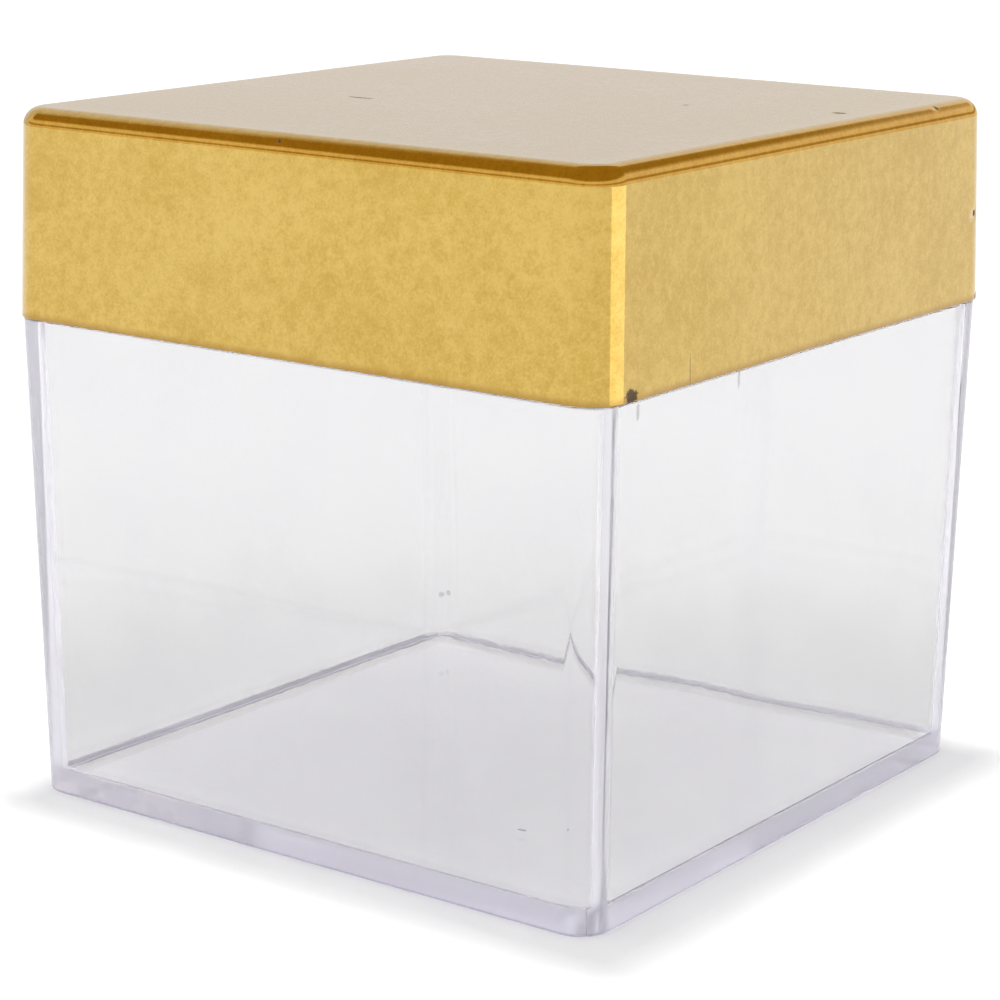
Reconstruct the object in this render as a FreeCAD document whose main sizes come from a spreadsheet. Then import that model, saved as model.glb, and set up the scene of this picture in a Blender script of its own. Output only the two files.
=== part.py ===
"""Clear moulded cube box with a gold deep telescoping lid.

Two injection-moulded pieces: a clear box whose upper wall steps in to a neck, and a lid
that slides down over that neck until its rim meets the step.
Millimetres. +Z is up, and the origin is the centre of the box's underside.
"""
import FreeCAD
import Part
import Sketcher
import os

DIMENSIONS = {
    # whole box
    "lid_rim_side": 57.0,        # widest place: the lid's rim, square in plan
    "step_height": 39.4,         # underside of the box to the step that the lid meets
    "rim_gap": 0.05,             # air between the lid's rim and the step
    "lid_height": 16.6,          # lid's rim to its flat top
    # clear box
    "rim_overhang": 0.18,        # lid's rim stands this far proud of the box, each side
    "box_draft": 1.1,            # degrees, outer walls, wider towards the step
    "box_corner": 2.7,           # radius of the upright outer corners
    "box_wall": 1.65,            # wall just below the step
    "cavity_draft": 0.4,         # degrees, inner walls, wider towards the mouth
    "cavity_corner": 1.4,        # radius of the upright inner corners
    "box_floor": 1.55,           # thickness of the floor
    "floor_fillet": 0.8,         # inner walls to floor
    "foot_fillet": 0.3,          # outer walls to underside
    # neck
    "neck_top_gap": 0.5,         # top of the neck to the lid's ceiling
    "neck_corner": 1.8,          # radius of the neck's upright outer corners
    "neck_lip": 0.2,             # rounding of the neck's top edges
    "step_edge": 0.15,           # rounding of the step's outer edge
    # lid
    "fit_gap": 0.1,              # neck to lid, each side
    "lid_wall": 0.95,            # lid's wall at its rim
    "lid_top": 1.3,              # thickness of the lid's flat top
    "lid_draft": 1.4,            # degrees, outer walls, narrower towards the top
    "bore_draft": 0.5,           # degrees, inner walls of the lid and outside of the neck
    "lid_corner": 2.85,          # radius of the lid's upright outer corners
    "bore_corner": 1.9,          # radius of the lid's upright inner corners
    "crown_fillet": 1.5,         # outer walls to flat top
    "ceiling_fillet": 0.5,       # inner walls to ceiling
    "rim_edge": 0.12,            # rounding of the rim's edges
}

# Sizes that follow from the dimensions
STEP_SIDE = "( lid_rim_side - 2 * rim_overhang )"
NECK_SIDE = "( lid_rim_side - 2 * lid_wall - 2 * fit_gap )"
NECK_HEIGHT = "( rim_gap + lid_height - lid_top - neck_top_gap )"
MOUTH_LEVEL = f"( step_height + {NECK_HEIGHT} )"
MOUTH_SIDE = f"( {STEP_SIDE} - 2 * box_wall + 2 * {NECK_HEIGHT} * tan( cavity_draft ) )"
BORE_SIDE = "( lid_rim_side - 2 * lid_wall )"
CEILING_LEVEL = "( lid_height - lid_top )"

SHEET = "Dimensions"
NEAR = 1e-4                      # millimetres within which two places count as one

doc = FreeCAD.newDocument("card_box")


def fill_sheet():
    """Write every driving dimension as a plain number in an aliased cell."""
    sheet = doc.addObject("Spreadsheet::Sheet", SHEET)
    for row, (alias, value) in enumerate(DIMENSIONS.items(), start=1):
        sheet.set(f"A{row}", alias)
        sheet.set(f"B{row}", str(value))
        sheet.setAlias(f"B{row}", alias)
    doc.recompute()


def cells(formula):
    """The formula with the sheet's name before each dimension."""
    return " ".join(f"{SHEET}.{word}" if word in DIMENSIONS else word
                    for word in formula.split())


def value(formula):
    """The formula's number, in millimetres or degrees."""
    return float(doc.getObject(SHEET).evalExpression(cells(formula)))


def same(first, second):
    return abs(first - second) < NEAR


def new_body(label):
    body = doc.addObject("PartDesign::Body", label)
    body.Label = label
    return body


def square_sketch(body, name, level, side):
    """Sketch of a square centred on Z, lying at a level."""
    plane = next(item for item in body.Origin.OriginFeatures if item.Role == "XY_Plane")
    sketch = body.newObject("Sketcher::SketchObject", name)
    sketch.AttachmentSupport = [(plane, "")]
    sketch.MapMode = "FlatFace"
    sketch.setExpression("AttachmentOffset.Base.z", cells(level))

    half = value(side) / 2
    corners = [FreeCAD.Vector(x, y, 0)
               for x, y in ((-half, -half), (half, -half), (half, half), (-half, half))]
    lines = [sketch.addGeometry(Part.LineSegment(corners[index], corners[(index + 1) % 4]))
             for index in range(4)]
    for index, line in enumerate(lines):
        following = lines[(index + 1) % 4]
        direction = "Horizontal" if index % 2 == 0 else "Vertical"
        sketch.addConstraint(Sketcher.Constraint("Coincident", line, 2, following, 1))
        sketch.addConstraint(Sketcher.Constraint(direction, line))
    sketch.addConstraint(Sketcher.Constraint("Symmetric", lines[0], 1, lines[2], 1, -1, 1))
    for label, kind, line in (("width", "DistanceX", lines[0]), ("depth", "DistanceY", lines[1])):
        index = sketch.addConstraint(Sketcher.Constraint(kind, line, 1, line, 2, 2 * half))
        sketch.renameConstraint(index, label)
        sketch.setExpression(f"Constraints.{label}", cells(side))
    return sketch


def extrude(body, name, kind, level, side, length, upward):
    """Pad or Pocket of a square, from a level up or down, and proof that it did something."""
    before = body.Shape.Volume if body.Tip else 0.0
    sketch = square_sketch(body, f"{name}_outline", level, side)
    feature = body.newObject(f"PartDesign::{kind}", name)
    feature.Profile = sketch
    feature.setExpression("Length", cells(length))
    feature.Reversed = upward == (kind == "Pocket")
    doc.recompute()
    change = body.Shape.Volume - before
    if (change > 0) != (kind == "Pad") or same(change, 0):
        raise RuntimeError(f"{name} changed the volume by {change:.3f} mm3")


def draft_walls(body, name, side, neutral_level, angle, outside):
    """Tilt the four upright walls of a square so that it narrows away from a level.

    Outside walls lose material by it, and the walls of a cavity gain some.
    """
    base = body.Tip
    half = value(side) / 2
    walls = []
    neutral = None
    for index, face in enumerate(base.Shape.Faces, start=1):
        normal = face.normalAt(0, 0)
        middle = face.CenterOfMass
        if same(abs(normal.z), 1) and same(middle.z, value(neutral_level)):
            neutral = f"Face{index}"
        elif same(abs(normal.x), 1) and same(abs(middle.x), half):
            walls.append(f"Face{index}")
        elif same(abs(normal.y), 1) and same(abs(middle.y), half):
            walls.append(f"Face{index}")
    if len(walls) != 4 or neutral is None:
        raise RuntimeError(f"{name} found {len(walls)} walls, neutral face {neutral}")
    feature = body.newObject("PartDesign::Draft", name)
    feature.Base = (base, walls)
    feature.NeutralPlane = (base, [neutral])
    feature.setExpression("Angle", cells(angle))
    doc.recompute()
    if (feature.Shape.Volume < base.Shape.Volume) != outside:
        feature.Reversed = True
        doc.recompute()


def fillet(body, name, radius, lowest, highest, reach=None):
    """Round the edges that run from one level to another, or lie at a level.

    reach, where given, is how far from Z the edges lie, measured square to a wall.
    """
    base = body.Tip
    chosen = []
    for index, edge in enumerate(base.Shape.Edges, start=1):
        box = edge.BoundBox
        farthest = max(-box.XMin, box.XMax, -box.YMin, box.YMax)
        spans = same(box.ZMin, value(lowest)) and same(box.ZMax, value(highest))
        if spans and (reach is None or same(farthest, value(reach))):
            chosen.append(f"Edge{index}")
    if not chosen:
        raise RuntimeError(f"{name} found no edges")
    feature = body.newObject("PartDesign::Fillet", name)
    feature.Base = (base, chosen)
    feature.setExpression("Radius", cells(radius))
    doc.recompute()


def build_clear_box():
    """Drafted box, stepped neck above it, and one cavity through both."""
    body = new_body("clear_box")
    extrude(body, "walls", "Pad", "step_height", STEP_SIDE, "step_height", upward=False)
    draft_walls(body, "walls_draft", STEP_SIDE, "step_height", "box_draft", outside=True)
    extrude(body, "neck", "Pad", "step_height", NECK_SIDE, NECK_HEIGHT, upward=True)
    draft_walls(body, "neck_draft", NECK_SIDE, "step_height", "bore_draft", outside=True)
    depth = f"{MOUTH_LEVEL} - box_floor"
    extrude(body, "cavity", "Pocket", MOUTH_LEVEL, MOUTH_SIDE, depth, upward=False)
    draft_walls(body, "cavity_walls", MOUTH_SIDE, MOUTH_LEVEL, "cavity_draft", outside=False)

    fillet(body, "cavity_corners", "cavity_corner", "box_floor", MOUTH_LEVEL)
    fillet(body, "neck_corners", "neck_corner", "step_height", MOUTH_LEVEL)
    fillet(body, "walls_corners", "box_corner", "0", "step_height")

    fillet(body, "floor_corner", "floor_fillet", "box_floor", "box_floor")
    fillet(body, "foot", "foot_fillet", "0", "0")
    fillet(body, "step_rounding", "step_edge", "step_height", "step_height", f"{STEP_SIDE} / 2")
    fillet(body, "lip", "neck_lip", MOUTH_LEVEL, MOUTH_LEVEL)
    return body


def build_gold_lid():
    """Drafted cap, open below, modelled with its rim at its own zero height."""
    body = new_body("gold_lid")
    extrude(body, "shell", "Pad", "0", "lid_rim_side", "lid_height", upward=True)
    draft_walls(body, "shell_draft", "lid_rim_side", "0", "lid_draft", outside=True)
    extrude(body, "bore", "Pocket", "0", BORE_SIDE, CEILING_LEVEL, upward=True)
    draft_walls(body, "bore_walls", BORE_SIDE, "0", "bore_draft", outside=False)

    fillet(body, "bore_corners", "bore_corner", "0", CEILING_LEVEL)
    fillet(body, "shell_corners", "lid_corner", "0", "lid_height")

    fillet(body, "crown", "crown_fillet", "lid_height", "lid_height")
    fillet(body, "ceiling_corner", "ceiling_fillet", CEILING_LEVEL, CEILING_LEVEL)
    fillet(body, "rim", "rim_edge", "0", "0")
    body.setExpression("Placement.Base.z", cells("step_height + rim_gap"))
    doc.recompute()
    return body


def check(bodies):
    """Stop if any object failed to compute or a sub-part is not one valid solid."""
    for item in doc.Objects:
        if {"Invalid", "Error"} & set(item.State):
            raise RuntimeError(f"{item.Name}: {item.State}")
    for body in bodies:
        shape = body.Shape
        if shape.isNull() or not shape.isValid() or len(shape.Solids) != 1:
            raise RuntimeError(f"{body.Label} is not one valid solid")


def export(bodies):
    os.makedirs("parts", exist_ok=True)
    for body in bodies:
        body.Shape.exportStep(f"parts/{body.Label}.step")
        box = body.Shape.optimalBoundingBox(False)
        print(f"{body.Label}: {body.Shape.Volume / 1000:.2f} cm3,"
              f" {box.XLength:.2f} x {box.YLength:.2f} x {box.ZLength:.2f} mm,"
              f" z {box.ZMin:.2f} to {box.ZMax:.2f}")


fill_sheet()
made = [build_clear_box(), build_gold_lid()]
check(made)
export(made)
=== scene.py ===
"""Looks of the clear moulded box and its gold lid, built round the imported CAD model.

Metres, in the CAD's own frame: +Z is up and the origin is the centre of the box's underside.
The clear box and the lid are each one closed mesh, swept round a square plan from a section.
"""

import math

import bpy
from mathutils import Matrix, Vector

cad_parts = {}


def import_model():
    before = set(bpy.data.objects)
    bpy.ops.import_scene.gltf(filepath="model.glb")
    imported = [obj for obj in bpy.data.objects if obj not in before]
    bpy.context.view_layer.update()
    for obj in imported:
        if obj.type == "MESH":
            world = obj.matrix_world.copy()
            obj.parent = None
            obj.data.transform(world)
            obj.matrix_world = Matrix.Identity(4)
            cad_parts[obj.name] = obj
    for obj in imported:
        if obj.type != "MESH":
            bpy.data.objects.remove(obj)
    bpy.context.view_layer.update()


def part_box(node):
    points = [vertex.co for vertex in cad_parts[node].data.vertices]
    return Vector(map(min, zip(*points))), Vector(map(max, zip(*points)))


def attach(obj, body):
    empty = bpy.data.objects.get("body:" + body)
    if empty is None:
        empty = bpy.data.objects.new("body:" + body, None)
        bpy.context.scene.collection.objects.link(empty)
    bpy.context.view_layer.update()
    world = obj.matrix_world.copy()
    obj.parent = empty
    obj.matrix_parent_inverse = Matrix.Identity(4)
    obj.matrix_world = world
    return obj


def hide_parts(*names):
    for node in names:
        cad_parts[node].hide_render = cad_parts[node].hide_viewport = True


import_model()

MM = 0.001
BOX_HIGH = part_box("clear_box")[1]
LID_LOW, LID_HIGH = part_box("gold_lid")

# Sizes that the CAD's outer boxes don't give
OVERHANG = 0.18 * MM
RIM_GAP = 0.05 * MM
STEP_LEVEL = LID_LOW.z - RIM_GAP
BOX_DRAFT = math.radians(1.1)
CAVITY_DRAFT = math.radians(0.4)
BOX_CORNER = 2.7 * MM
BOX_WALL = 1.65 * MM
BOX_FLOOR = 1.55 * MM
LID_DRAFT = math.radians(1.4)
BORE_DRAFT = math.radians(0.5)
LID_CORNER = 2.85 * MM
LID_WALL = 0.95 * MM
LID_TOP = 1.3 * MM
FIT_GAP = 0.1 * MM

# Corner radii in plan that differ from the outside's
NECK_CORNER = 1.8 * MM
CAVITY_CORNER = 1.4 * MM
BORE_CORNER = 1.9 * MM

# Bend radii in the sections
FOOT_BEND = 0.3 * MM
STEP_BEND = 0.15 * MM
MOUTH_BEND = 0.2 * MM
FLOOR_FILLET = 0.8 * MM
RIM_BEND = 0.12 * MM
CEILING_FILLET = 0.5 * MM
CROWN = 1.5 * MM

# Mesh fineness
CORNER_STEPS = 18
BEND_STEPS = 12
SMALL_BEND_STEPS = 6
SMALL_BEND = 0.4 * MM
BOX_SPACING = 2.0 * MM
LID_SPACING = 0.8 * MM
SAME_PLACE = 1e-7
SAME_WAY = 1e-3
SMALLEST_CORNER = 1e-6
SLOPE_PROBE = 0.04 * MM


class Profile:
    """Half of a section through a square moulding, from its axis round its skin to its axis.

    A knot is (half side, height, bend radius, plan corner radius). The way walked keeps the
    outside on its right.
    """

    def __init__(self, knots, spacing):
        self.knots = knots
        self.spacing = spacing
        self.stations = []

    def build(self):
        bends = [self.bend(index) for index in range(len(self.knots))]
        for index, (arrive, leave, centre) in enumerate(bends):
            if arrive != leave:
                self.add_arc(arrive, leave, centre, self.hub(index))
            if index + 1 < len(bends):
                self.add_line(leave, bends[index + 1][0], self.hub(index), self.hub(index + 1))
        return self.stations

    def hub(self, index):
        """How far the plan corner's centre lies from the axis, along X and along Y."""
        half, _, _, corner = self.knots[index]
        return max(0.0, half - corner)

    def bend(self, index):
        """Where the rounding at a knot starts and ends, and its centre."""
        half, height, radius, _ = self.knots[index]
        here = Vector((half, height))
        if radius == 0:
            return here, here, here
        back = (Vector(self.knots[index - 1][:2]) - here).normalized()
        ahead = (Vector(self.knots[index + 1][:2]) - here).normalized()
        opening = back.angle(ahead)
        reach = radius / math.tan(opening / 2)
        centre = here + (back + ahead).normalized() * (radius / math.sin(opening / 2))
        return here + back * reach, here + ahead * reach, centre

    def add_arc(self, arrive, leave, centre, hub):
        first = arrive - centre
        steps = BEND_STEPS if first.length > SMALL_BEND else SMALL_BEND_STEPS
        turn = first.angle_signed(leave - centre)
        outward = 1.0 if turn < 0 else -1.0
        for step in range(steps + 1):
            spoke = first.copy()
            spoke.rotate(Matrix.Rotation(-turn * step / steps, 2))
            self.add(centre + spoke, hub, outward * spoke.normalized())

    def add_line(self, start, end, hub_start, hub_end):
        along = end - start
        steps = max(1, round(along.length / self.spacing))
        outward = Vector((along.y, -along.x)).normalized()
        for step in range(steps + 1):
            share = step / steps
            self.add(start + along * share, hub_start + (hub_end - hub_start) * share, outward)

    def add(self, place, hub, outward):
        if self.stations:
            last_place, _, last_outward = self.stations[-1]
            if ((last_place - place).length < SAME_PLACE
                    and (last_outward - outward).length < SAME_WAY):
                return
        self.stations.append((place, min(hub, place.x), outward))


def ring(place, hub, outward, marks):
    """(point, normal) round one rounded square, anticlockwise from its front left corner."""
    half, height = place
    corner = max(half - hub, SMALLEST_CORNER)
    flat = half - corner
    rows = []
    for turn in range(4):
        quarter = Matrix.Rotation(math.radians(90 * turn), 3, "Z")
        face = Vector((0, -outward.x, outward.y))
        for mark in marks:
            rows.append((quarter @ Vector((mark * flat, -half, height)), quarter @ face))
        for step in range(1, CORNER_STEPS):
            angle = math.radians(-90 + 90 * step / CORNER_STEPS)
            ray = Vector((math.cos(angle), math.sin(angle), 0))
            spot = Vector((flat, -flat, height)) + ray * corner
            rows.append((quarter @ spot, quarter @ (ray * outward.x + Vector((0, 0, outward.y)))))
    return rows


def shaped(spot, normal, relief):
    """The point moved along its normal by the relief there, and the relief's own normal."""
    lift = relief(spot, normal)
    side = normal.orthogonal().normalized()
    cross = normal.cross(side)
    slope = Vector((0, 0, 0))
    for way in (side, cross):
        slope += way * (relief(spot + way * SLOPE_PROBE, normal) - lift) / SLOPE_PROBE
    return spot + normal * lift, (normal - slope).normalized()


def moulding(name, profile, marks, relief, slot_of):
    """A closed mesh from a profile, with the exact normals of its skin."""
    stations = profile.build()
    rows = [[shaped(spot, normal, relief) for spot, normal in ring(*station, marks)]
            for station in stations]
    around = len(rows[0])
    faces = []
    slots = []
    for upper in range(1, len(rows)):
        if (stations[upper][0] - stations[upper - 1][0]).length < SAME_PLACE:
            continue
        low = (upper - 1) * around
        high = upper * around
        for index in range(around):
            after = (index + 1) % around
            faces.append((low + index, low + after, high + after, high + index))
            slots.append(slot_of(stations[upper][0], stations[upper][2]))
    last = (len(rows) - 1) * around
    faces.append(tuple(reversed(range(around))))
    slots.append(slot_of(stations[0][0], stations[0][2]))
    faces.append(tuple(last + index for index in range(around)))
    slots.append(slot_of(stations[-1][0], stations[-1][2]))
    mesh = bpy.data.meshes.new(name)
    mesh.from_pydata([spot for row in rows for spot, _ in row], [], faces)
    mesh.polygons.foreach_set("material_index", slots)
    mesh.polygons.foreach_set("use_smooth", [True] * len(mesh.polygons))
    mesh.normals_split_custom_set_from_vertices([normal for row in rows for _, normal in row])
    mesh.update()
    piece = bpy.data.objects.new(name, mesh)
    bpy.context.scene.collection.objects.link(piece)
    return piece


def even_marks(length, spacing):
    """Shares from -1 to 1 along a flat, evenly spaced."""
    count = max(1, round(length / spacing))
    return [-1 + 2 * index / count for index in range(count + 1)]


def clear_box_profile():
    """The box's section, from the middle of its underside to the middle of its floor's top."""
    step_half = LID_HIGH.x - OVERHANG
    foot_half = step_half - STEP_LEVEL * math.tan(BOX_DRAFT)
    neck_half = LID_HIGH.x - LID_WALL - FIT_GAP
    mouth = BOX_HIGH.z
    neck_rise = mouth - STEP_LEVEL
    neck_top = neck_half - neck_rise * math.tan(BORE_DRAFT)
    cavity_half = step_half - BOX_WALL
    mouth_half = cavity_half + neck_rise * math.tan(CAVITY_DRAFT)
    floor_half = cavity_half - (STEP_LEVEL - BOX_FLOOR) * math.tan(CAVITY_DRAFT)
    hub_half = 1.5 * MM
    hub_corner = 1.2 * MM
    return Profile([
        (hub_half, 0.0, 0.0, hub_corner),
        (foot_half, 0.0, FOOT_BEND, BOX_CORNER),
        (step_half, STEP_LEVEL, STEP_BEND, BOX_CORNER),
        (neck_half, STEP_LEVEL, 0.0, NECK_CORNER),
        (neck_top, mouth, MOUTH_BEND, NECK_CORNER),
        (mouth_half, mouth, MOUTH_BEND, CAVITY_CORNER),
        (floor_half, BOX_FLOOR, FLOOR_FILLET, CAVITY_CORNER),
        (hub_half, BOX_FLOOR, 0.0, hub_corner),
    ], BOX_SPACING)


def gold_lid_profile():
    """The lid's section, from the middle of its ceiling to the middle of its top."""
    rim = LID_LOW.z
    top = LID_HIGH.z
    ceiling = top - LID_TOP
    rim_half = LID_HIGH.x
    bore_half = rim_half - LID_WALL
    top_half = rim_half - (top - rim) * math.tan(LID_DRAFT)
    ceiling_half = bore_half - (ceiling - rim) * math.tan(BORE_DRAFT)
    hub_half = 1.0 * MM
    hub_corner = 0.8 * MM
    return Profile([
        (hub_half, ceiling, 0.0, hub_corner),
        (ceiling_half, ceiling, CEILING_FILLET, BORE_CORNER),
        (bore_half, rim, RIM_BEND, BORE_CORNER),
        (rim_half, rim, RIM_BEND, LID_CORNER),
        (top_half, top, CROWN, LID_CORNER),
        (hub_half, top, 0.0, hub_corner),
    ], LID_SPACING)


def ripple(spot, depth, pitch):
    """Slow moulding waviness: three crossing waves."""
    turn = 2 * math.pi / pitch
    first = math.sin(turn * (spot.x + 0.6 * spot.y + 0.35 * spot.z) + 0.7)
    second = math.sin(turn * (0.8 * spot.y - 0.5 * spot.x + 0.9 * spot.z) * 1.37 + 2.1)
    third = math.sin(turn * (1.1 * spot.z + 0.4 * spot.x - 0.7 * spot.y) * 0.83 + 4.0)
    return depth * (first + second + third) / 3


def bite(spot, centre, reach, depth):
    """A small smooth dent round a centre."""
    away = (spot - centre).length / reach
    if away >= 1:
        return 0.0
    return -depth * (1 - away * away) ** 2


# Knocks on the lid: centre, reach, depth
RIM = LID_LOW.z
FACE = LID_HIGH.x
KNOCKS = [
    (Vector((FACE, -24.8 * MM, RIM + 0.45 * MM)), 0.8 * MM, 0.16 * MM),
    (Vector((FACE - 0.2 * MM, 25.8 * MM, RIM + 7.3 * MM)), 0.55 * MM, 0.10 * MM),
    (Vector((FACE - 1.2 * MM, 20.0 * MM, LID_HIGH.z - 0.5 * MM)), 0.5 * MM, 0.07 * MM),
    (Vector((-0.7 * MM, -FACE + 0.6 * MM, LID_HIGH.z - 0.5 * MM)), 0.4 * MM, 0.05 * MM),
]


# Depth and pitch of each moulding's waviness, and the heights on the box where it ends
LID_WAVE = 0.008 * MM
LID_WAVE_PITCH = 21 * MM
BOX_WAVE = 0.006 * MM
BOX_WAVE_PITCH = 17 * MM
SMOOTH_ABOVE = STEP_LEVEL - 0.5 * MM
SMOOTH_BELOW = 0.4 * MM


def lid_relief(spot, normal):
    """Waviness and knocks, always into the plastic. The bore stays smooth."""
    faces_axis = normal.x * spot.x + normal.y * spot.y < 0
    if normal.z < 0.2 and faces_axis:
        return 0.0
    sink = ripple(spot, LID_WAVE, LID_WAVE_PITCH) - LID_WAVE
    return sink + sum(bite(spot, *knock) for knock in KNOCKS)


def box_relief(spot, normal):
    """Waviness above the foot and below the step, outside and inside, always into the plastic."""
    if spot.z > SMOOTH_ABOVE or spot.z < SMOOTH_BELOW:
        return 0.0
    return ripple(spot, BOX_WAVE, BOX_WAVE_PITCH) - BOX_WAVE


class Shading:
    """Short forms for the nodes of one node tree."""

    def __init__(self, tree):
        self.tree = tree

    def node(self, kind, **settings):
        made = self.tree.nodes.new(kind)
        for name, value in settings.items():
            setattr(made, name, value)
        return made

    def feed(self, socket, value):
        if isinstance(value, bpy.types.NodeSocket):
            self.tree.links.new(value, socket)
        else:
            socket.default_value = value

    def math(self, operation, first, second=0.0):
        made = self.node("ShaderNodeMath", operation=operation)
        self.feed(made.inputs[0], first)
        self.feed(made.inputs[1], second)
        return made.outputs[0]

    def vector(self, operation, first, second=(0, 0, 0)):
        made = self.node("ShaderNodeVectorMath", operation=operation)
        self.feed(made.inputs[0], first)
        self.feed(made.inputs[1], second)
        return made.outputs["Value" if operation == "LENGTH" else "Vector"]

    def step(self, value, low, high, out_low=0.0, out_high=1.0):
        """A smooth step from out_low, where the value is at low, to out_high at high."""
        made = self.node("ShaderNodeMapRange", interpolation_type="SMOOTHSTEP")
        for name, given in (("Value", value), ("From Min", low), ("From Max", high),
                            ("To Min", out_low), ("To Max", out_high)):
            self.feed(made.inputs[name], given)
        return made.outputs[0]

    def mix(self, share, first, second):
        made = self.node("ShaderNodeMix", data_type="RGBA")
        self.feed(made.inputs["Factor"], share)
        self.feed(made.inputs[6], first)
        self.feed(made.inputs[7], second)
        return made.outputs[2]

    def place(self):
        """The point's place in metres."""
        return self.node("ShaderNodeTexCoord").outputs["Object"]

    def split(self, vector):
        """The X, Y and Z sockets of a vector."""
        made = self.node("ShaderNodeSeparateXYZ")
        self.feed(made.inputs[0], vector)
        return made.outputs

    def product(self, *values):
        result = values[0]
        for value in values[1:]:
            result = self.math("MULTIPLY", result, value)
        return result

    def mirrored_only(self, path):
        """1 for rays that reflections send out, and 0 for those that passed through plastic."""
        outside = self.math("SUBTRACT", 1.0, path.outputs["Is Transmission Ray"])
        return self.math("MULTIPLY", path.outputs["Is Glossy Ray"], outside)

    def noise(self, place, grain, detail=2.0, rough=0.5):
        """Cloudy values round 0.5, with blotches of about the given grain in metres."""
        made = self.node("ShaderNodeTexNoise")
        self.feed(made.inputs["Vector"], place)
        made.inputs["Scale"].default_value = 1 / grain
        made.inputs["Detail"].default_value = detail
        made.inputs["Roughness"].default_value = rough
        return made.outputs["Fac"]

    def spot(self, place, centre, size, ragged=0.35, grain=0.25 * MM):
        """A ragged mark: 1 at the centre and 0 past its size along X, Y and Z."""
        away = self.vector("SUBTRACT", place, tuple(centre))
        away = self.vector("DIVIDE", away, tuple(size))
        away = self.vector("LENGTH", away)
        edge = self.math("MULTIPLY", self.noise(place, grain), 2 * ragged)
        away = self.math("ADD", away, self.math("SUBTRACT", edge, ragged))
        return self.step(away, 1.0, 0.6)

    def most(self, values):
        best = values[0]
        for value in values[1:]:
            best = self.math("MAXIMUM", best, value)
        return best


def new_material(name):
    material = bpy.data.materials.new(name)
    material.use_nodes = True
    tree = material.node_tree
    tree.nodes.clear()
    output = tree.nodes.new("ShaderNodeOutputMaterial")
    shader = tree.nodes.new("ShaderNodeBsdfPrincipled")
    tree.links.new(shader.outputs[0], output.inputs["Surface"])
    return material, Shading(tree), shader.inputs, output


def bumped(do, inputs, height, strength, distance):
    bump = do.node("ShaderNodeBump")
    bump.inputs["Strength"].default_value = strength
    bump.inputs["Distance"].default_value = distance
    do.feed(bump.inputs["Height"], height)
    do.feed(inputs["Normal"], bump.outputs[0])


# Clear plastic: colours, and numbers for the shader
CLEAR = (0.955, 0.952, 0.960, 1)
CLEAREST = (0.980, 0.978, 0.982, 1)
# Painted band: the corner tint stands in for the pale lavender that light bent through the rounded
# upright corners shows
CORNER_PAINTED_BAND_TINT = (0.88, 0.87, 0.92, 1)
# Painted band: the foot tint stands in for the lavender that light shows through the edge of the
# floor
FOOT_PAINTED_BAND_TINT = (0.82, 0.805, 0.89, 1)
# Painted glints in the foot's band
PAINTED_GLINT_TINT = (0.97, 0.92, 0.97, 1)
# Painted shade: a darker line along the foot's underside
FOOT_PAINTED_SHADE_TINT = (0.60, 0.57, 0.70, 1)
RUB_TINT = (0.50, 0.48, 0.50, 1)
DEPTH_TINT = (0.40, 0.36, 0.50, 1)
DEPTH_TINT_DENSITY = 5.0
PLASTIC_IOR = 1.59
RUB_ROUGHNESS = 0.25
WORN_ROUGHNESS = 0.16
SCUFF_AND_BAND_TRANSMISSION = 0.68

# Rubs on the clear box: centre, and half size along X, Y and Z
RUBS = (
    ((BOX_HIGH.x, -10.4 * MM, 38.9 * MM), (1 * MM, 0.22 * MM, 0.9 * MM)),
    ((BOX_HIGH.x, -23.7 * MM, 38.6 * MM), (1 * MM, 0.25 * MM, 0.8 * MM)),
    ((12.2 * MM, -13.9 * MM, BOX_FLOOR), (0.5 * MM, 0.25 * MM, 1 * MM)),
    ((-26.0 * MM, 27.0 * MM, 5.5 * MM), (0.35 * MM, 1.5 * MM, 0.4 * MM)),
)

# Scuffed upright corners, with a painted band standing in for the pale lavender that light shows
# where it bends through them, measured in from the face: where they fade in, how much wider the
# left and right ones are, and how far each lies to one side of its diagonal
CORNER_START = 2.45 * MM
CORNER_FULL = 2.15 * MM
SIDE_CORNER_EXTRA = 0.8 * MM
SIDE_CORNER_LEAN = -1.4 * MM
FRONT_CORNER_LEAN = 0.2 * MM
LEAN_FADE = 0.5 * MM

# Scuffed foot, with a painted band standing in for the lavender that light shows through the
# floor's edge: depth in from the face, height, and how much lower it is on the back walls
FOOT_START = 0.9 * MM
FOOT_FULL = 0.7 * MM
FOOT_TOP = 2.6 * MM
FOOT_TOP_FULL = 2.2 * MM
BACK_FOOT_DROP = 1.2 * MM
# Height of the painted shade line along the underside: where it starts, and where it is full
FOOT_SHADE_LINE_TOP = 0.40 * MM
FOOT_SHADE_LINE_FULL = 0.20 * MM


def wall_reach(do, height):
    """How far the draft has drawn the box's walls in at this height."""
    below_step = do.math("SUBTRACT", STEP_LEVEL, height)
    return do.math("MULTIPLY", below_step, math.tan(BOX_DRAFT))


def corner_scuffs_and_painted_band(do, place, across):
    """1 on the front, left and right upright corners, and 0 elsewhere."""
    face = BOX_HIGH.x
    along_x, along_y, height = do.split(do.vector("ABSOLUTE", place))
    nearer = do.math("ADD", do.math("MINIMUM", along_x, along_y), wall_reach(do, height))
    extra = do.step(across, 40 * MM, 20 * MM, 0.0, SIDE_CORNER_EXTRA)
    nearer = do.math("ADD", nearer, extra)
    near_corner = do.step(nearer, face - CORNER_START, face - CORNER_FULL)
    lean = do.math("SUBTRACT", along_x, along_y)
    lean = do.math("MULTIPLY", lean, do.math("SIGN", do.split(place)["X"]))
    shift = do.step(across, 20 * MM, 40 * MM, SIDE_CORNER_LEAN, FRONT_CORNER_LEAN)
    leaning = do.step(do.math("SUBTRACT", lean, shift), 0.0, LEAN_FADE)
    not_back = do.step(across, -40 * MM, -20 * MM)
    return do.product(near_corner, leaning, not_back)


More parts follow.
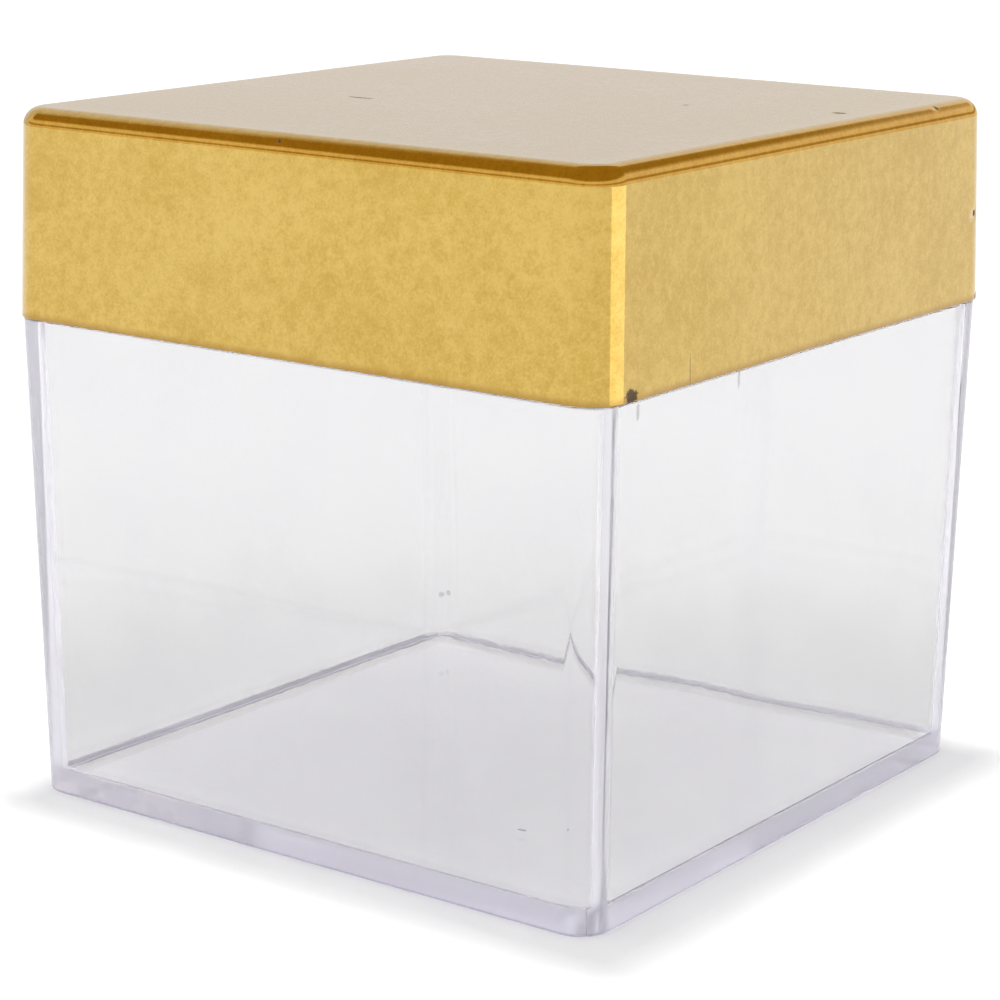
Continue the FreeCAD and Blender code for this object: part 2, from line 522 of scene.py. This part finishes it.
def foot_scuffs_and_painted_band(do, place, across):
    """1 on the lowest part of the walls, and 0 elsewhere."""
    face = BOX_HIGH.x
    along_x, along_y, height = do.split(do.vector("ABSOLUTE", place))
    further = do.math("MAXIMUM", along_x, along_y)
    reach = do.math("ADD", further, wall_reach(do, height))
    side = do.step(reach, face - FOOT_START, face - FOOT_FULL)
    raised = do.math("ADD", height, do.step(across, 2 * MM, -2 * MM, 0.0, BACK_FOOT_DROP))
    return do.math("MULTIPLY", side, do.step(raised, FOOT_TOP, FOOT_TOP_FULL))


def foot_tint(do, place, foot):
    """Painted lavender band of bent light, with painted glints in a paler mottled stretch towards
    -X and a painted shade line at the underside.
    """
    along = do.split(place)
    # Painted glints: a paler mottled stretch of the foot towards -X
    painted_glint_stretch = do.step(along["X"], -6 * MM, -16 * MM)
    mottle = do.step(do.noise(place, 2.2 * MM), 0.42, 0.62, 0.35, 1.0)
    tint = do.mix(do.math("MULTIPLY", painted_glint_stretch, mottle), FOOT_PAINTED_BAND_TINT, PAINTED_GLINT_TINT)
    height = do.split(do.vector("ABSOLUTE", place))["Z"]
    # Painted shade line along the underside
    line = do.math("MULTIPLY", foot, do.step(height, FOOT_SHADE_LINE_TOP, FOOT_SHADE_LINE_FULL))
    return do.mix(line, tint, FOOT_PAINTED_SHADE_TINT)


def clear_plastic():
    """Clear moulded polystyrene, tinted faintly lavender, with scuffed corners and foot that also
    carry painted bands of bent light, painted glints and a painted shade line.
    """
    material, do, inputs, output = new_material("clear_polystyrene")
    place = do.place()
    signed = do.split(place)
    # Largest at the front corner, 0 at the left and right ones, and lowest at the back one
    across = do.math("SUBTRACT", signed["X"], signed["Y"])
    rubs = do.most([do.spot(place, *rub) for rub in RUBS])
    # Scuffs, and a painted band of bent light, on the upright corners except the back one
    corner = corner_scuffs_and_painted_band(do, place, across)
    # Scuffs, and a painted band of bent light, on the lowest part of the walls
    foot = foot_scuffs_and_painted_band(do, place, across)
    # The scuffs and the painted bands together: rougher, less clear and tinted
    worn = do.math("MAXIMUM", corner, foot)

    film = do.noise(place, 9 * MM, 5.0, 0.6)
    grain = do.noise(place, 0.5 * MM, 3.0, 0.6)
    haze = do.math("ADD", do.math("MULTIPLY", film, 0.6), do.math("MULTIPLY", grain, 0.4))
    body = do.mix(do.step(haze, 0.35, 0.65), CLEAR, CLEAREST)
    # Painted band of bent light on the upright corners
    body = do.mix(corner, body, CORNER_PAINTED_BAND_TINT)
    # Painted band of bent light on the foot, with painted glints and a painted shade line
    body = do.mix(foot, body, foot_tint(do, place, foot))
    do.feed(inputs["Base Color"], do.mix(rubs, body, RUB_TINT))

    rubbed = do.math("MULTIPLY", rubs, RUB_ROUGHNESS)
    scuffed = do.math("MULTIPLY", worn, WORN_ROUGHNESS)
    do.feed(inputs["Roughness"], do.math("MAXIMUM", rubbed, scuffed))
    inputs["IOR"].default_value = PLASTIC_IOR
    # The socket's own value, for whatever reads it without following the link
    inputs["Transmission Weight"].default_value = 1.0
    # Less clear on the scuffs and painted bands, so that their painted tint shows lit
    do.feed(inputs["Transmission Weight"], do.step(worn, 0.0, 1.0, 1.0, SCUFF_AND_BAND_TRANSMISSION))
    bumped(do, inputs, do.noise(place, 1.4 * MM, 2.0), 0.02, 0.1 * MM)
    absorb = do.node("ShaderNodeVolumeAbsorption")
    absorb.inputs["Color"].default_value = DEPTH_TINT
    absorb.inputs["Density"].default_value = DEPTH_TINT_DENSITY
    do.feed(output.inputs["Volume"], absorb.outputs[0])
    return material


# Gold: colours
LACQUER_DEEP = (0.565, 0.350, 0.041, 1)
LACQUER_PALE = (0.712, 0.484, 0.106, 1)
DUST_DEEP = (0.34, 0.245, 0.14, 1)
DUST_PALE = (0.70, 0.58, 0.46, 1)
PAINTED_RIM_SHADE = (0.36, 0.17, 0.012, 1)
MARK_COLOUR = (0.24, 0.16, 0.07, 1)
CHIP_COLOUR = (0.07, 0.035, 0.010, 1)

# Chipped lacquer on the lid: centre, half size along X, Y and Z, raggedness and its grain
CHIPS = (
    (KNOCKS[0][0], (1 * MM, 0.85 * MM, 0.62 * MM), 0.6, 0.3 * MM),
    ((FACE, 26.9 * MM, RIM + 0.35 * MM), (1 * MM, 0.8 * MM, 0.45 * MM), 0.5, 0.3 * MM),
    (KNOCKS[1][0], (1 * MM, 0.30 * MM, 0.35 * MM), 0.4, 0.2 * MM),
    (KNOCKS[2][0], (0.45 * MM, 0.45 * MM, 0.45 * MM), 0.5, 0.2 * MM),
    (KNOCKS[3][0], (0.25 * MM, 0.4 * MM, 0.25 * MM), 0.4, 0.2 * MM),
)

# Dark marks and one scratch on the lid: centre, half size, and for the scratch its raggedness
MARKS = (
    ((-10.75 * MM, -5.8 * MM, LID_HIGH.z), (1.6 * MM, 0.30 * MM, 1 * MM)),
    ((12.1 * MM, 6.9 * MM, LID_HIGH.z), (0.30 * MM, 0.30 * MM, 1 * MM)),
    ((24.3 * MM, 10.0 * MM, LID_HIGH.z), (0.8 * MM, 0.5 * MM, 1 * MM)),
    ((FACE, -17.3 * MM, RIM + 1.2 * MM), (1 * MM, 0.07 * MM, 1.4 * MM), 0.2),
)


def top_dust(do, place, cloud, grain):
    """How dusty the gold is: patchy on the flat top, thinner near its border, none on the sides."""
    facing = do.split(do.node("ShaderNodeNewGeometry").outputs["Normal"])
    plan = do.split(do.vector("ABSOLUTE", place))
    border = do.math("MAXIMUM", plan["X"], plan["Y"])
    flat = do.step(facing["Z"], 0.965, 0.998)
    inner = do.step(border, FACE - 1.4 * MM, FACE - 4.5 * MM, 0.7, 1.0)
    film = do.math("ADD", do.math("MULTIPLY", cloud, 0.5), do.math("MULTIPLY", grain, 0.5))
    return do.product(flat, inner, do.step(film, 0.36, 0.60, 0.55, 0.97))


def metallised_gold():
    """Metallised plastic under gold lacquer: mottled, dusty on top, with painted shade at its rim,
    chipped.
    """
    material, do, inputs, _ = new_material("metallised_gold")
    place = do.place()
    cloud = do.noise(place, 12 * MM, 4.0, 0.55)
    grain = do.noise(place, 0.9 * MM, 4.0, 0.65)
    fleck = do.noise(place, 0.22 * MM, 2.0, 0.7)
    tone = do.math("ADD", do.math("MULTIPLY", cloud, 0.30), do.math("MULTIPLY", grain, 0.40))
    tone = do.math("ADD", tone, do.math("MULTIPLY", fleck, 0.30))
    dust = top_dust(do, place, cloud, grain)
    chips = do.most([do.spot(place, *chip) for chip in CHIPS])
    marks = do.most([do.spot(place, *mark) for mark in MARKS])

    skin = do.mix(do.step(tone, 0.36, 0.64), LACQUER_DEEP, LACQUER_PALE)
    skin = do.mix(dust, skin, do.mix(do.step(tone, 0.38, 0.62), DUST_DEEP, DUST_PALE))
    height = do.split(place)["Z"]
    # Painted shade: darker towards the rim, where the lid meets the box
    low = do.step(height, RIM + 0.75 * MM, RIM + 0.05 * MM, 0.0, 0.62)
    skin = do.mix(low, skin, PAINTED_RIM_SHADE)
    skin = do.mix(do.math("MULTIPLY", marks, 0.75), skin, MARK_COLOUR)
    skin = do.mix(do.math("MULTIPLY", chips, 0.95), skin, CHIP_COLOUR)
    do.feed(inputs["Base Color"], skin)

    worn = do.math("MAXIMUM", chips, do.math("MULTIPLY", marks, 0.6))
    bare = do.math("SUBTRACT", 1.0, do.math("MULTIPLY", dust, 0.45))
    do.feed(inputs["Metallic"], do.math("MULTIPLY", bare, do.step(worn, 0.0, 1.0, 1.0, 0.2)))
    sheen = do.step(tone, 0.35, 0.65, 0.07, 0.12)
    sheen = do.math("ADD", sheen, do.math("MULTIPLY", dust, 0.22))
    do.feed(inputs["Roughness"], do.math("ADD", sheen, do.math("MULTIPLY", worn, 0.4)))
    do.feed(inputs["Coat Weight"], do.step(worn, 0.0, 0.6, 1.0, 0.0))
    inputs["Coat Roughness"].default_value = 0.05
    relief = do.math("ADD", grain, do.math("MULTIPLY", fleck, 0.5))
    bumped(do, inputs, relief, 0.10, 0.06 * MM)
    return material


BARE_DEEP = (0.74, 0.72, 0.73, 1)
BARE_PALE = (0.80, 0.78, 0.79, 1)


def lid_inside():
    """The bare inside of the lid: pale unlacquered plastic."""
    material, do, inputs, _ = new_material("lid_inside")
    place = do.place()
    cloud = do.noise(place, 5 * MM, 4.0, 0.6)
    do.feed(inputs["Base Color"], do.mix(cloud, BARE_DEEP, BARE_PALE))
    do.feed(inputs["Roughness"], do.step(cloud, 0.3, 0.7, 0.32, 0.45))
    bumped(do, inputs, do.noise(place, 0.6 * MM), 0.1, 0.05 * MM)
    return material


CAMERA_AZIMUTH = math.radians(36.045)
CAMERA_ELEVATION = math.radians(14.082)
CAMERA_ROLL = math.radians(0.493)
CAMERA_DISTANCE = 247.525 * MM
CAMERA_TARGET = Vector((-0.771 * MM, 0, 23.104 * MM))
CAMERA_LENS = 107.8
CAMERA_SENSOR = 36.0


def camera():
    """The main view: from the front right, a little above the box."""
    level = Vector((math.sin(CAMERA_AZIMUTH), -math.cos(CAMERA_AZIMUTH), 0))
    back = level * math.cos(CAMERA_ELEVATION) + Vector((0, 0, math.sin(CAMERA_ELEVATION)))
    data = bpy.data.cameras.new("camera")
    data.lens = CAMERA_LENS
    data.sensor_width = CAMERA_SENSOR
    data.clip_start = 0.01
    data.clip_end = 20.0
    viewer = bpy.data.objects.new("camera", data)
    bpy.context.scene.collection.objects.link(viewer)
    aim = (-back).to_track_quat("-Z", "Y").to_matrix().to_4x4()
    stand = Matrix.Translation(CAMERA_TARGET + back * CAMERA_DISTANCE)
    viewer.matrix_world = stand @ aim @ Matrix.Rotation(CAMERA_ROLL, 4, "Z")
    bpy.context.scene.camera = viewer


# Floor: colour, and how much it glows for each kind of ray
WHITE = (1.0, 1.0, 1.0, 1)
FLOOR_WHITE = 0.9
FLOOR_RADIUS = 1.4
FLOOR_SIDES = 96
FLOOR_DROP = 0.03 * MM
FLOOR_LIFT = 0.42
# The glow straight on at the foot, where the painted contact shadow is darkest
SHADED_LIFT = 0.06
MIRRORED_LIFT = 0.29
# Glow through the plastic far from the box, and none near it, which paints shade there
THROUGH_SHADE_LIFT = 0.20

# Where the floor's glow changes: the painted soft shade round the foot, and the painted shade near
# the box that rays through the plastic see, fading out farther away
FOOT_HALF = 27.5 * MM
SHADE_CENTRE = (2.2 * MM, -1.6 * MM, 0)
SHADE_REACH = 6.5 * MM
THROUGH_SHADE_CENTRE = (11 * MM, -15 * MM, 0)
THROUGH_SHADE_START = 40 * MM
THROUGH_SHADE_END = 105 * MM


def floor_glow(do):
    """What the floor adds to its lit colour, for rays that see it straight on, through the
    plastic, or in a reflection. Straight on it is less near the foot: painted contact shadow.
    Through the plastic it is less near the box: painted shade, fading out farther away.
    """
    path = do.node("ShaderNodeLightPath")
    # Painted contact shadow: less glow straight on near the foot
    clear_of = do.vector("ABSOLUTE", do.vector("SUBTRACT", do.place(), SHADE_CENTRE))
    clear_of = do.vector("SUBTRACT", clear_of, (FOOT_HALF, FOOT_HALF, 0))
    clear_of = do.vector("LENGTH", do.vector("MAXIMUM", clear_of, (0, 0, 0)))
    lift = do.step(clear_of, 0.0, SHADE_REACH, SHADED_LIFT, FLOOR_LIFT)
    straight = do.math("MULTIPLY", path.outputs["Is Camera Ray"], lift)
    # Painted shade near the box for rays through the plastic: the glow rises with distance from it
    away = do.vector("LENGTH", do.vector("SUBTRACT", do.place(), THROUGH_SHADE_CENTRE))
    away = do.step(away, THROUGH_SHADE_START, THROUGH_SHADE_END, 0.0, THROUGH_SHADE_LIFT)
    through = do.math("MULTIPLY", path.outputs["Is Transmission Ray"], away)
    mirrored = do.math("MULTIPLY", do.mirrored_only(path), MIRRORED_LIFT)
    return do.math("ADD", do.math("ADD", straight, through), mirrored)


def stage():
    """A pale round floor that reaches past the edges of every view."""
    rim = []
    for side in range(FLOOR_SIDES):
        angle = 2 * math.pi * side / FLOOR_SIDES
        rim.append(Vector((math.cos(angle), math.sin(angle), 0)) * FLOOR_RADIUS)
    mesh = bpy.data.meshes.new("floor")
    mesh.from_pydata(rim, [], [tuple(range(FLOOR_SIDES))])
    floor = bpy.data.objects.new("floor", mesh)
    bpy.context.scene.collection.objects.link(floor)
    floor.location.z = -FLOOR_DROP
    material, do, inputs, _ = new_material("pale_floor")
    inputs["Base Color"].default_value = (FLOOR_WHITE, FLOOR_WHITE, FLOOR_WHITE, 1)
    inputs["Roughness"].default_value = 1.0
    inputs["Specular IOR Level"].default_value = 0.0
    inputs["Emission Color"].default_value = WHITE
    do.feed(inputs["Emission Strength"], floor_glow(do))
    floor.data.materials.append(material)


KEY_POWER = 0.8
KEY_SIDE = 0.8
KEY_PLACE = (-0.75, -0.45, 0.65)


def key_light():
    """A large soft lamp on the left that lights surfaces but shows nowhere itself."""
    data = bpy.data.lights.new("key", "AREA")
    data.shape = "RECTANGLE"
    data.size = KEY_SIDE
    data.size_y = KEY_SIDE
    data.energy = KEY_POWER
    lamp = bpy.data.objects.new("key", data)
    bpy.context.scene.collection.objects.link(lamp)
    lamp.location = Vector(KEY_PLACE)
    lamp.rotation_mode = "QUATERNION"
    lamp.rotation_quaternion = (-lamp.location).to_track_quat("-Z", "Y")
    lamp.visible_camera = False
    lamp.visible_glossy = False
    lamp.visible_transmission = False


# The card's two upright ends, as azimuth in degrees and reach from the lid's front corner
CARD_ENDS = ((-1.0, 120 * MM), (50.0, 150 * MM))
CARD_HEIGHT = 46 * MM
CARD_GLOW = 1.6


def bounce_card():
    """A pale card low on the right that shows only in reflections, mostly the gold's."""
    corner = Vector((LID_HIGH.x, LID_LOW.y, 0))
    ends = []
    for azimuth, reach in CARD_ENDS:
        angle = math.radians(azimuth)
        ends.append(corner + Vector((math.cos(angle), math.sin(angle), 0)) * reach)
    top = Vector((0, 0, CARD_HEIGHT))
    mesh = bpy.data.meshes.new("bounce_card")
    mesh.from_pydata([ends[0], ends[1], ends[1] + top, ends[0] + top], [], [(0, 1, 2, 3)])
    card = bpy.data.objects.new("bounce_card", mesh)
    bpy.context.scene.collection.objects.link(card)
    material, _, inputs, _ = new_material("bounce_card")
    inputs["Base Color"].default_value = (0, 0, 0, 1)
    inputs["Specular IOR Level"].default_value = 0.0
    inputs["Emission Color"].default_value = WHITE
    inputs["Emission Strength"].default_value = CARD_GLOW
    card.data.materials.append(material)
    card.visible_camera = False
    card.visible_diffuse = False
    card.visible_transmission = False
    card.visible_shadow = False


# World: brightness of the light, and the colours that each kind of ray meets
LIGHTING = 1.25
OVERHEAD_LIGHTING = 0.2
LIGHT_THROUGH_PLASTIC = 5.2
BACKDROP = (1.2, 1.2, 1.2, 1)
SEEN_LOW = (1.0, 0.99, 1.02, 1)
SEEN_HIGH = (0.80, 0.79, 0.84, 1)
MIRROR_BACK = (0.76, 0.70, 0.62, 1)
MIRROR_CARD = (0.95, 0.77, 0.52, 1)
MIRROR_DARK = (0.40, 0.235, 0.03, 1)
MIRROR_GAP = (0.50, 0.33, 0.10, 1)
BRIGHT_WAY = Vector((-0.86, 0.51, 0))


def sine(degrees):
    return math.sin(math.radians(degrees))


def mirrored_world(do, rise, leftward):
    """What reflections meet: pale walls, higher towards the back left, under a dark ceiling, and
    away from the back left a darker gap from 5 to 16 degrees above the horizon.
    """
    share = do.step(leftward, 0.50, 0.92)
    limit = do.math("ADD", do.math("MULTIPLY", share, sine(49) - sine(27)), sine(27))
    over = do.step(do.math("SUBTRACT", rise, limit), -0.07, 0.07)
    walls = do.mix(over, do.mix(share, MIRROR_CARD, MIRROR_BACK), MIRROR_DARK)
    above = do.step(rise, sine(5), sine(8))
    below = do.step(rise, sine(16), sine(11))
    elsewhere = do.step(leftward, 0.75, 0.55)
    return do.mix(do.product(above, below, elsewhere), walls, MIRROR_GAP)


def world():
    """Light from all round. What lights the floor, what shows through the plastic and what
    reflections meet are set apart by the kind of ray.
    """
    made = bpy.data.worlds.new("studio")
    bpy.context.scene.world = made
    made.use_nodes = True
    do = Shading(made.node_tree)
    way = do.split(do.node("ShaderNodeTexCoord").outputs["Generated"])
    rise = way["Z"]
    span = do.math("SQRT", do.math("SUBTRACT", 1.0, do.math("MULTIPLY", rise, rise)))
    leftward = do.math("ADD", do.math("MULTIPLY", way["X"], BRIGHT_WAY.x),
                       do.math("MULTIPLY", way["Y"], BRIGHT_WAY.y))
    leftward = do.math("DIVIDE", leftward, span)
    path = do.node("ShaderNodeLightPath")

    lit = do.step(rise, sine(40), sine(60), LIGHTING, OVERHEAD_LIGHTING)
    extra = do.math("MULTIPLY", path.outputs["Is Transmission Ray"], LIGHT_THROUGH_PLASTIC - 1)
    lit = do.math("MULTIPLY", lit, do.math("ADD", extra, 1.0))
    seen = do.mix(do.step(rise, sine(15), sine(60)), SEEN_LOW, SEEN_HIGH)
    colour = do.mix(do.mirrored_only(path), seen, mirrored_world(do, rise, leftward))
    colour = do.mix(path.outputs["Is Camera Ray"], colour, BACKDROP)
    bounced = do.math("GREATER_THAN", path.outputs["Diffuse Depth"], 0.5)
    do.feed(made.node_tree.nodes["Background"].inputs["Color"], do.mix(bounced, colour, lit))


def picture_settings():
    """Plain colours, and enough bounces for light to leave the clear walls."""
    scene = bpy.context.scene
    scene.view_settings.view_transform = "Standard"
    scene.cycles.max_bounces = 48
    scene.cycles.transmission_bounces = 40
    scene.cycles.glossy_bounces = 40
    scene.cycles.diffuse_bounces = 5


def clear_box():
    marks = even_marks(2 * (BOX_HIGH.x - BOX_CORNER), BOX_SPACING)
    piece = moulding("clear_moulding", clear_box_profile(), marks, box_relief, lambda *_: 0)
    piece.data.materials.append(clear_plastic())
    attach(piece, "box")
    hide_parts("clear_box")


def gold_lid():
    def slot_at(place, outward):
        """The material slot: 1 for the ceiling and the bore above its rim, 0 for the rest."""
        under = place.y < LID_HIGH.z - 0.5 * LID_TOP
        return 1 if under and place.y > RIM + 0.2 * MM and outward.x < 0.5 else 0

    marks = even_marks(2 * (LID_HIGH.x - LID_CORNER), LID_SPACING)
    piece = moulding("lid_moulding", gold_lid_profile(), marks, lid_relief, slot_at)
    piece.data.materials.append(metallised_gold())
    piece.data.materials.append(lid_inside())
    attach(piece, "lid")
    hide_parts("gold_lid")


camera()
stage()
key_light()
bounce_card()
world()
picture_settings()
clear_box()
gold_lid()
